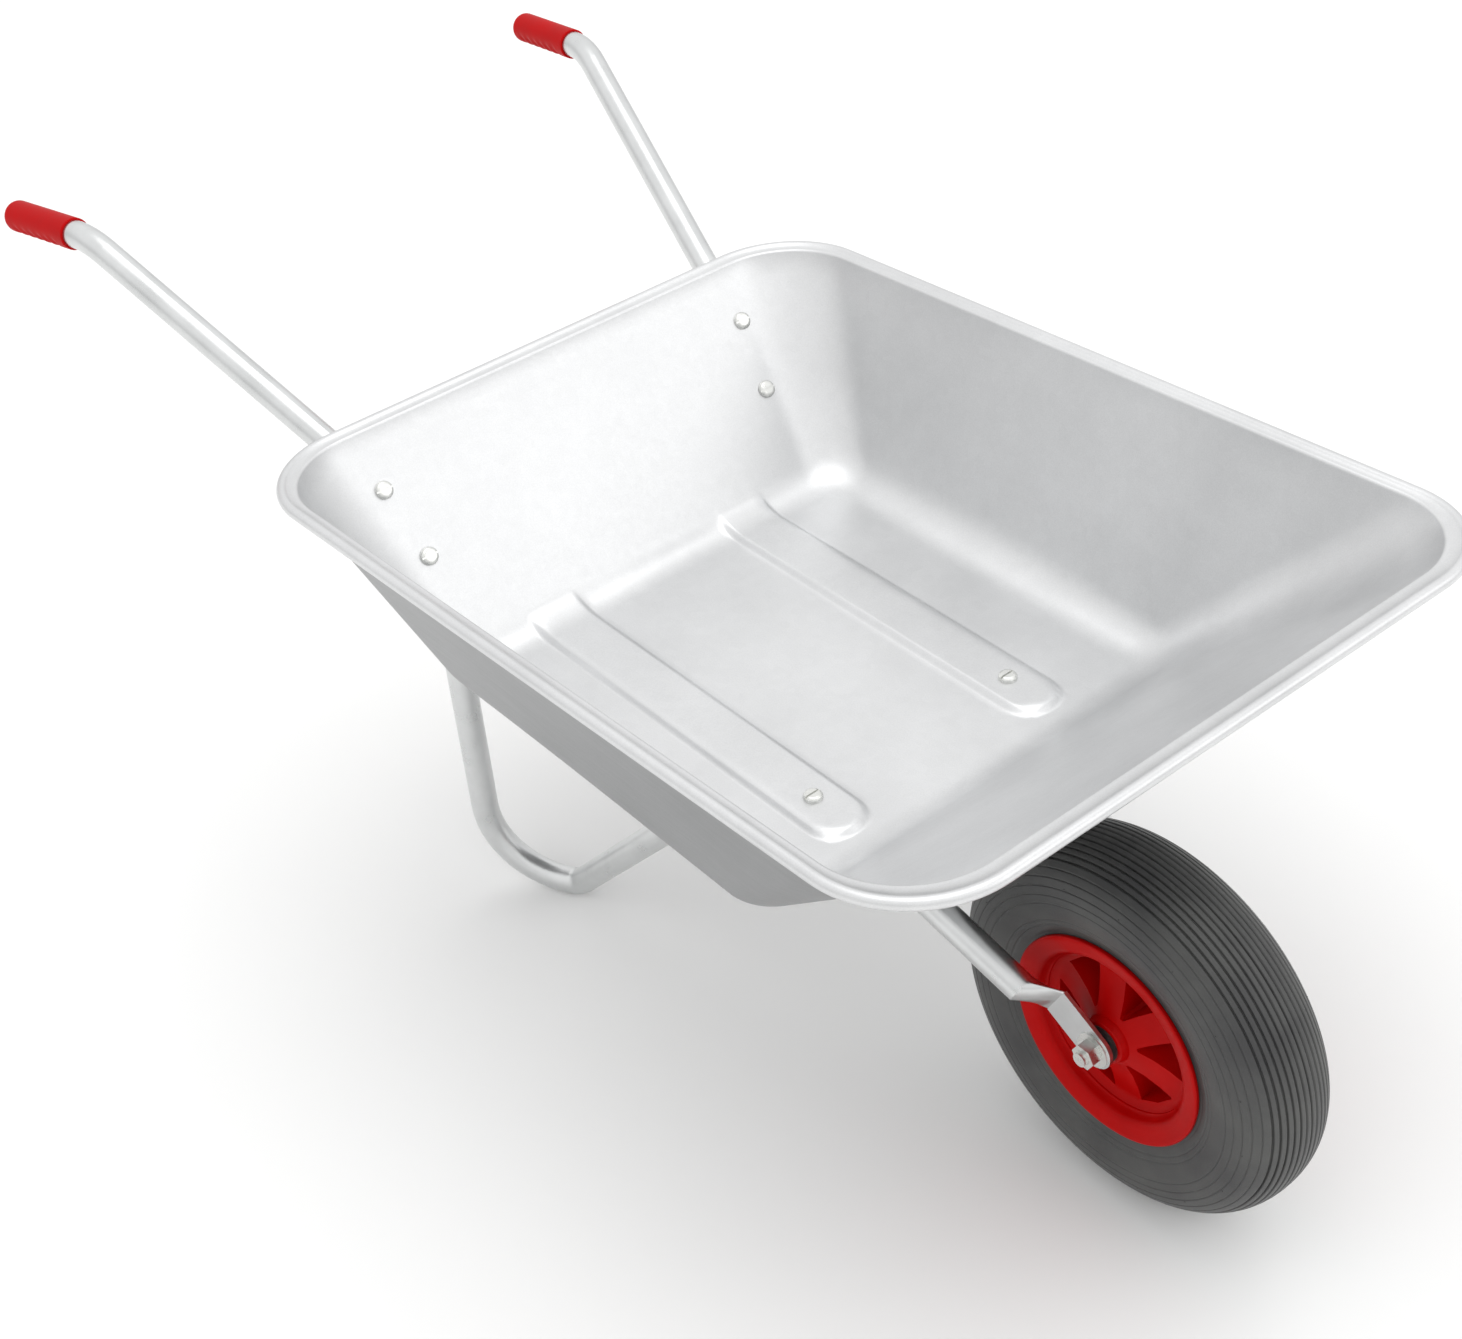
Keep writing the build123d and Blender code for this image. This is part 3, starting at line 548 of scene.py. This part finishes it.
def pattern_depth(arc):
    """Depth of the grooves at a distance along the tread from its middle."""
    last = GROOVES // 2
    nearest = min(round(arc / GROOVE_PITCH), last)
    depth = groove(abs(arc - nearest * GROOVE_PITCH), GROOVE_WIDTH, GROOVE_DEPTH)
    step = round((arc - last * GROOVE_PITCH) / SHOULDER_PITCH)
    if 1 <= step <= SHOULDER_LINES:
        place = last * GROOVE_PITCH + step * SHOULDER_PITCH
        depth += groove(abs(arc - place), SHOULDER_WIDTH, SHOULDER_DEPTH)
    return depth


def make_tyre():
    half = tyre_outline()
    dense = [half[0]]
    for start, end in zip(half, half[1:]):
        gap = math.hypot(end[0] - start[0], end[1] - start[1])
        parts = max(1, math.ceil(gap / 0.6))
        dense += [(start[0] + (end[0] - start[0]) * k / parts, start[1] + (end[1] - start[1]) * k / parts)
                  for k in range(1, parts + 1)]
    arcs = [0.0]
    for start, end in zip(dense[::-1], dense[-2::-1]):
        arcs.append(arcs[-1] + math.hypot(end[0] - start[0], end[1] - start[1]))
    side = []
    for (across, radial), arc in zip(dense, arcs[::-1]):
        inward = Vector((-across, BULGE_RADIUS - radial))
        depth = pattern_depth(arc)
        for line in SIDE_LINES:
            depth += SIDE_LINE_RISE * (1 - smooth_step(abs(radial - line) / 1.2)) * (across > BEAD_HALF)
        inward.normalize()
        side.append((across + inward.x * depth, radial + inward.y * depth))
    profile = side[:-1] + [(-across, radial) for across, radial in reversed(side)]
    tyre = revolve("tyre_carcass", profile, RUBBER, "wheel", segments=TYRE_SEGMENTS)
    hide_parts("tyre")
    return tyre


def make_vent_nubs():
    """Short rubber hairs left by the mould's vents, in rings on both shoulders."""
    verts, faces = [], []
    half, crown = (TYRE_HIGH.y - AXLE.y) / MM, (TYRE_HIGH.z - AXLE.z) / MM
    for ring, (across, radial) in enumerate(((half - 2.0, 138.0), (half - 9.0, 150.0))):
        for side in (-1, 1):
            for count in range(16):
                turn = 2 * math.pi * (count + 0.37 * ring + 0.2 * side) / 16
                out = Vector((math.cos(turn), 0, math.sin(turn)))
                base = AXLE + (out * radial + Vector((0, side * across, 0))) * MM
                lean = (out * 0.5 + Vector((0, side * 0.6, 0))).normalized()
                aside = lean.cross(Vector((0.3, 0.5, 0.8))).normalized()
                first = len(verts)
                for level, radius in ((-1.0, 0.5), (0.7, 0.45), (1.1, 0.2)):
                    for corner in range(8):
                        spin = Matrix.Rotation(2 * math.pi * corner / 8, 3, lean)
                        verts.append(base + (lean * level + (spin @ aside) * radius) * MM)
                faces += [tuple(first + i for i in face) for face in grid_faces(3, 8, wrap_columns=True)]
                faces.append(tuple(range(first + 16, first + 24)))
                faces.append(tuple(reversed(range(first, first + 8))))
    nubs = new_piece("tyre_vent_nubs", verts, faces, RUBBER, "wheel")
    return nubs


# ---- wheel rim ----
SPOKES = 6
SPOKE_START = 40.0           # degrees
WINDOW_INNER, WINDOW_OUTER = 26.0, 64.0          # radii of a window's ends
WINDOW_INNER_HALF, WINDOW_OUTER_HALF = 1.5, 19.5
WINDOW_BOW = 3.0             # rise of the outer end at its middle
WINDOW_CUT = 60.0            # half length of the cutter, past both faces


def make_rim():
    """Moulded rim: dished flanges and barrel, deep spokes with windows between them, and a hub."""
    half = [(35.0, 76.2), (37.0, 77.0), (37.0, 91.2), (37.7, 92.0), (39.8, 92.0), (40.7, 91.4),
            (41.0, 90.2), (40.8, 87.6), (38.9, 80.0), (38.0, 77.2), (36.4, 75.0), (33.6, 73.6),
            (30.0, 72.8), (27.6, 70.6)]
    profile = half + [(-across, radial) for across, radial in reversed(half)]
    ring = revolve("rim_ring", profile, RED_RIM, "wheel")
    web_half = [(36.0, 14.0), (35.0, 21.0), (32.0, 26.0), (27.0, 38.0), (23.5, 52.0), (22.0, 62.0),
                (23.0, 67.0), (25.5, 70.0), (28.0, 71.5)]
    web_profile = web_half + [(-across, radial) for across, radial in reversed(web_half)]
    web = revolve("rim_spokes", web_profile, RED_RIM, "wheel")
    cut_windows(web)
    hub_half = [(HUB_END / MM, 13.3), (HUB_END / MM, 17.0), (41.0, 18.6), (38.0, 19.6), (31.0, 22.5)]
    hub_profile = hub_half + [(-across, radial) for across, radial in reversed(hub_half)]
    hub = revolve("rim_hub", hub_profile, RED_RIM, "wheel", segments=96)
    for piece in (ring, web, hub):
        soften(piece, 0.0008, segments=3)
        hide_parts("wheel_rim")


def cut_windows(web):
    """Cuts the six windows through the spokes' disc."""
    verts, faces = [], []
    shoulder = WINDOW_OUTER - WINDOW_BOW
    corners = [(WINDOW_INNER, -WINDOW_INNER_HALF), (shoulder, -WINDOW_OUTER_HALF), (WINDOW_OUTER, 0),
               (shoulder, WINDOW_OUTER_HALF), (WINDOW_INNER, WINDOW_INNER_HALF)]
    for number in range(SPOKES):
        turn = math.radians(SPOKE_START + (number + 0.5) * 360 / SPOKES)
        first = len(verts)
        for across in (-WINDOW_CUT, WINDOW_CUT):
            for radial, tangent in corners:
                x = radial * math.cos(turn) - tangent * math.sin(turn)
                z = radial * math.sin(turn) + tangent * math.cos(turn)
                verts.append(AXLE + Vector((x, across, z)) * MM)
        count = len(corners)
        faces += [(first + i, first + (i + 1) % count, first + count + (i + 1) % count, first + count + i)
                  for i in range(count)]
        faces.append(tuple(range(first, first + count)))
        faces.append(tuple(range(first + count, first + 2 * count)))
    cutter = new_piece("window_cutter", verts, faces, RED_RIM, "wheel", smooth=False)
    cut = web.modifiers.new("windows", "BOOLEAN")
    cut.object = cutter
    cut.operation = "DIFFERENCE"
    cut.solver = "EXACT"
    bpy.context.view_layer.update()
    shaped = bpy.data.meshes.new_from_object(web.evaluated_get(bpy.context.evaluated_depsgraph_get()))
    web.modifiers.clear()
    web.data = shaped
    bpy.data.objects.remove(cutter)


# ---- grips ----
GRIP_DROOP, GRIP_SPLAY = 7.0, 6.0
GRIP_LENGTH, GRIP_RADIUS, GRIP_ROUND, GRIP_BORE = 108.0, 14.5, 8.0, 12.6
FINGER_RIDGES = 6
FINGER_DEPTH = 2.0


def make_grip(name, side):
    low, high = [Vector(corner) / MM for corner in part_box("grip_" + name)]
    droop, splay = math.radians(GRIP_DROOP), math.radians(GRIP_SPLAY)
    rearward = Vector((-math.cos(droop) * math.cos(splay), side * math.cos(droop) * math.sin(splay),
                       -math.sin(droop)))
    mouth_x = high.x - GRIP_RADIUS * math.sqrt(1 - rearward.x ** 2)
    inner_y = low.y if side > 0 else high.y
    mouth_y = inner_y + side * GRIP_RADIUS * math.sqrt(1 - rearward.y ** 2)
    mouth = Vector((mouth_x, mouth_y, high.z - GRIP_RADIUS * math.cos(droop)))
    down = (Vector((0, 0, -1)) - rearward * rearward.dot(Vector((0, 0, -1)))).normalized()
    aside = rearward.cross(down)
    stations = [(0.0, GRIP_BORE), (0.0, GRIP_RADIUS - 0.6), (0.6, GRIP_RADIUS)]
    body_end = GRIP_LENGTH - GRIP_ROUND
    stations += [(0.6 + (body_end - 0.6) * step / 90, GRIP_RADIUS) for step in range(1, 91)]
    for step in range(1, 13):
        turn = math.pi / 2 * step / 12
        radius = GRIP_RADIUS - GRIP_ROUND * (1 - math.cos(turn))
        stations.append((body_end + GRIP_ROUND * math.sin(turn), radius))
    stations += [(GRIP_LENGTH, (GRIP_RADIUS - GRIP_ROUND) * share) for share in (0.66, 0.33, 0.02)]
    around = 64
    verts = []
    for distance, radius in stations:
        wave = finger_wave(distance) if radius > GRIP_BORE else 0.0
        for step in range(around):
            turn = 2 * math.pi * step / around
            under = smooth_step((math.cos(turn) + 0.15) / 0.8)
            reach = radius - FINGER_DEPTH * wave * under
            ray = down * math.cos(turn) + aside * math.sin(turn)
            verts.append((mouth + rearward * distance + ray * reach) * MM)
    faces = grid_faces(len(stations), around, wrap_columns=True)
    faces.append(tuple(range((len(stations) - 1) * around, len(stations) * around)))
    grip = new_piece("grip_sleeve_" + name, verts, faces, RED_GRIP, "frame")
    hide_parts("grip_" + name)
    return grip


def finger_wave(distance):
    """Depth of the finger grooves along the grip, from 0 on a ridge to 1 in a groove."""
    start, end = 14.0, GRIP_LENGTH - 14.0
    if not start < distance < end:
        return 0.0
    phase = (distance - start) / (end - start) * FINGER_RIDGES
    return 0.5 - 0.5 * math.cos(2 * math.pi * phase)


# ---- CAD nodes that keep their shape ----
CAD_FINISHES = {
    "frame_tube_left": TUBE_ZINC, "frame_tube_right": TUBE_ZINC,
    "rear_wall_bolts": PLATED, "rear_wall_washers": PLATED, "rear_wall_nuts": PLATED,
    "floor_bolts": PLATED, "floor_washers": PLATED, "floor_nuts": PLATED,
    "axle_bolt": PLATED, "axle_nut": PLATED, "axle_washer_left": PLATED, "axle_washer_right": PLATED,
    "spacer_left": PLATED, "spacer_right": PLATED,
    "bush_left": NYLON, "bush_right": NYLON,
    "inner_tube": TUBE_RUBBER, "valve_stem": VALVE_RUBBER, "valve_core": BRASS, "valve_cap": BLACK,
}


def finish_cad_nodes():
    for node, material in CAD_FINISHES.items():
        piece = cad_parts[node]
        if not piece.material_slots:
            piece.data.materials.append(material)
        for slot in piece.material_slots:
            slot.material = material


# ---- studio ----
FLOOR_HALF_SIZE = 12.0       # metres
WORLD_STRENGTH = 1.12
HORIZON, OVERHEAD = (0.06, 0.7), (0.5, 0.97)     # height on the sky and tone
CAMERA_PLACE = (1.2825, -0.9466, 1.4658)
CAMERA_TARGET = (0.1372, -0.1012, 0.3642)
CAMERA_ROLL = -5.2           # degrees
CAMERA_LENS = 55.9
CAMERA_SENSOR = 36.0


def make_floor():
    size = FLOOR_HALF_SIZE
    mesh = bpy.data.meshes.new("studio_floor")
    corners = [(-size, -size, 0), (size, -size, 0), (size, size, 0), (-size, size, 0)]
    mesh.from_pydata(corners, [], [(0, 1, 2, 3)])
    mesh.materials.append(studio_floor())
    floor = bpy.data.objects.new("studio_floor", mesh)
    bpy.context.scene.collection.objects.link(floor)


def aim(thing, place, target, roll=0.0):
    """Stands a camera or light at a place, looking at a target."""
    look = (Vector(target) - Vector(place)).to_track_quat("-Z", "Y").to_matrix().to_4x4()
    thing.matrix_world = Matrix.Translation(place) @ look @ Matrix.Rotation(math.radians(roll), 4, "Z")


def area_light(name, place, target, size, power):
    light = bpy.data.lights.new(name, "AREA")
    light.shape = "RECTANGLE"
    light.size, light.size_y = size
    light.energy = power
    lamp = bpy.data.objects.new(name, light)
    bpy.context.scene.collection.objects.link(lamp)
    aim(lamp, place, target)


def make_world():
    """Soft white surroundings overhead that fall to grey at the horizon."""
    world = bpy.data.worlds.new("studio")
    world.use_nodes = True
    tree = world.node_tree
    background = tree.nodes["Background"]
    background.inputs["Strength"].default_value = WORLD_STRENGTH
    place = tree.nodes.new("ShaderNodeTexCoord")
    split = tree.nodes.new("ShaderNodeSeparateXYZ")
    ramp = tree.nodes.new("ShaderNodeValToRGB")
    for element, (height, tone) in zip(ramp.color_ramp.elements, (HORIZON, OVERHEAD)):
        element.position = height
        element.color = (tone, tone, tone, 1)
    tree.links.new(place.outputs["Generated"], split.inputs[0])
    tree.links.new(split.outputs["Z"], ramp.inputs["Fac"])
    tree.links.new(ramp.outputs["Color"], background.inputs["Color"])
    bpy.context.scene.world = world


def set_tones():
    """Plain tone curve, so that a white floor looks white."""
    bpy.context.scene.view_settings.view_transform = "Standard"


def make_camera():
    data = bpy.data.cameras.new("camera")
    data.lens = CAMERA_LENS
    data.sensor_width = CAMERA_SENSOR
    camera = bpy.data.objects.new("camera", data)
    bpy.context.scene.collection.objects.link(camera)
    aim(camera, CAMERA_PLACE, CAMERA_TARGET, CAMERA_ROLL)
    bpy.context.scene.camera = camera


make_tray()
make_tyre()
make_vent_nubs()
make_rim()
for grip_name, grip_side in (("left", 1), ("right", -1)):
    make_grip(grip_name, grip_side)
finish_cad_nodes()
make_floor()
make_world()
area_light("front_light", (3.0, 1.9, 2.3), (0.0, 0.0, 0.4), (3.0, 2.2), 14)
area_light("top_light", (0.2, 0.2, 3.6), (0.0, 0.0, 0.3), (2.6, 2.6), 22)
make_camera()
set_tones()
